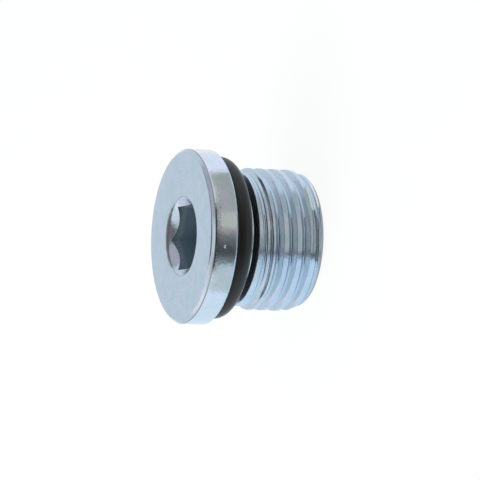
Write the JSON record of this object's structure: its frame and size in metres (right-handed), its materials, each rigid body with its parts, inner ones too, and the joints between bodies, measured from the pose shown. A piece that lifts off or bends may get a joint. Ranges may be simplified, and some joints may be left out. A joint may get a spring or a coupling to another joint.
{
  "type": "hex socket plug",
  "caption": "Straight-thread port plug: round flanged head with a countersunk hex socket, an O-ring on a plain neck under the head, and a short right-hand threaded shank.",
  "frame": {"origin": "centre of the plain end face of the threaded shank", "axes": "+Z along the plug's axis, from the threaded end up to the head; two corners of the hex socket lie over the Y axis"},
  "size_m": [0.0174, 0.0174, 0.0127],
  "materials": {
    "plated_steel": "bright zinc plate with a clear blue passivate over turned and rolled steel",
    "seal_rubber": "matt black moulded nitrile"
  },
  "bodies": {
    "root": {"plug_body": "plated_steel", "o_ring": "seal_rubber"}
  },
  "joints": []
}
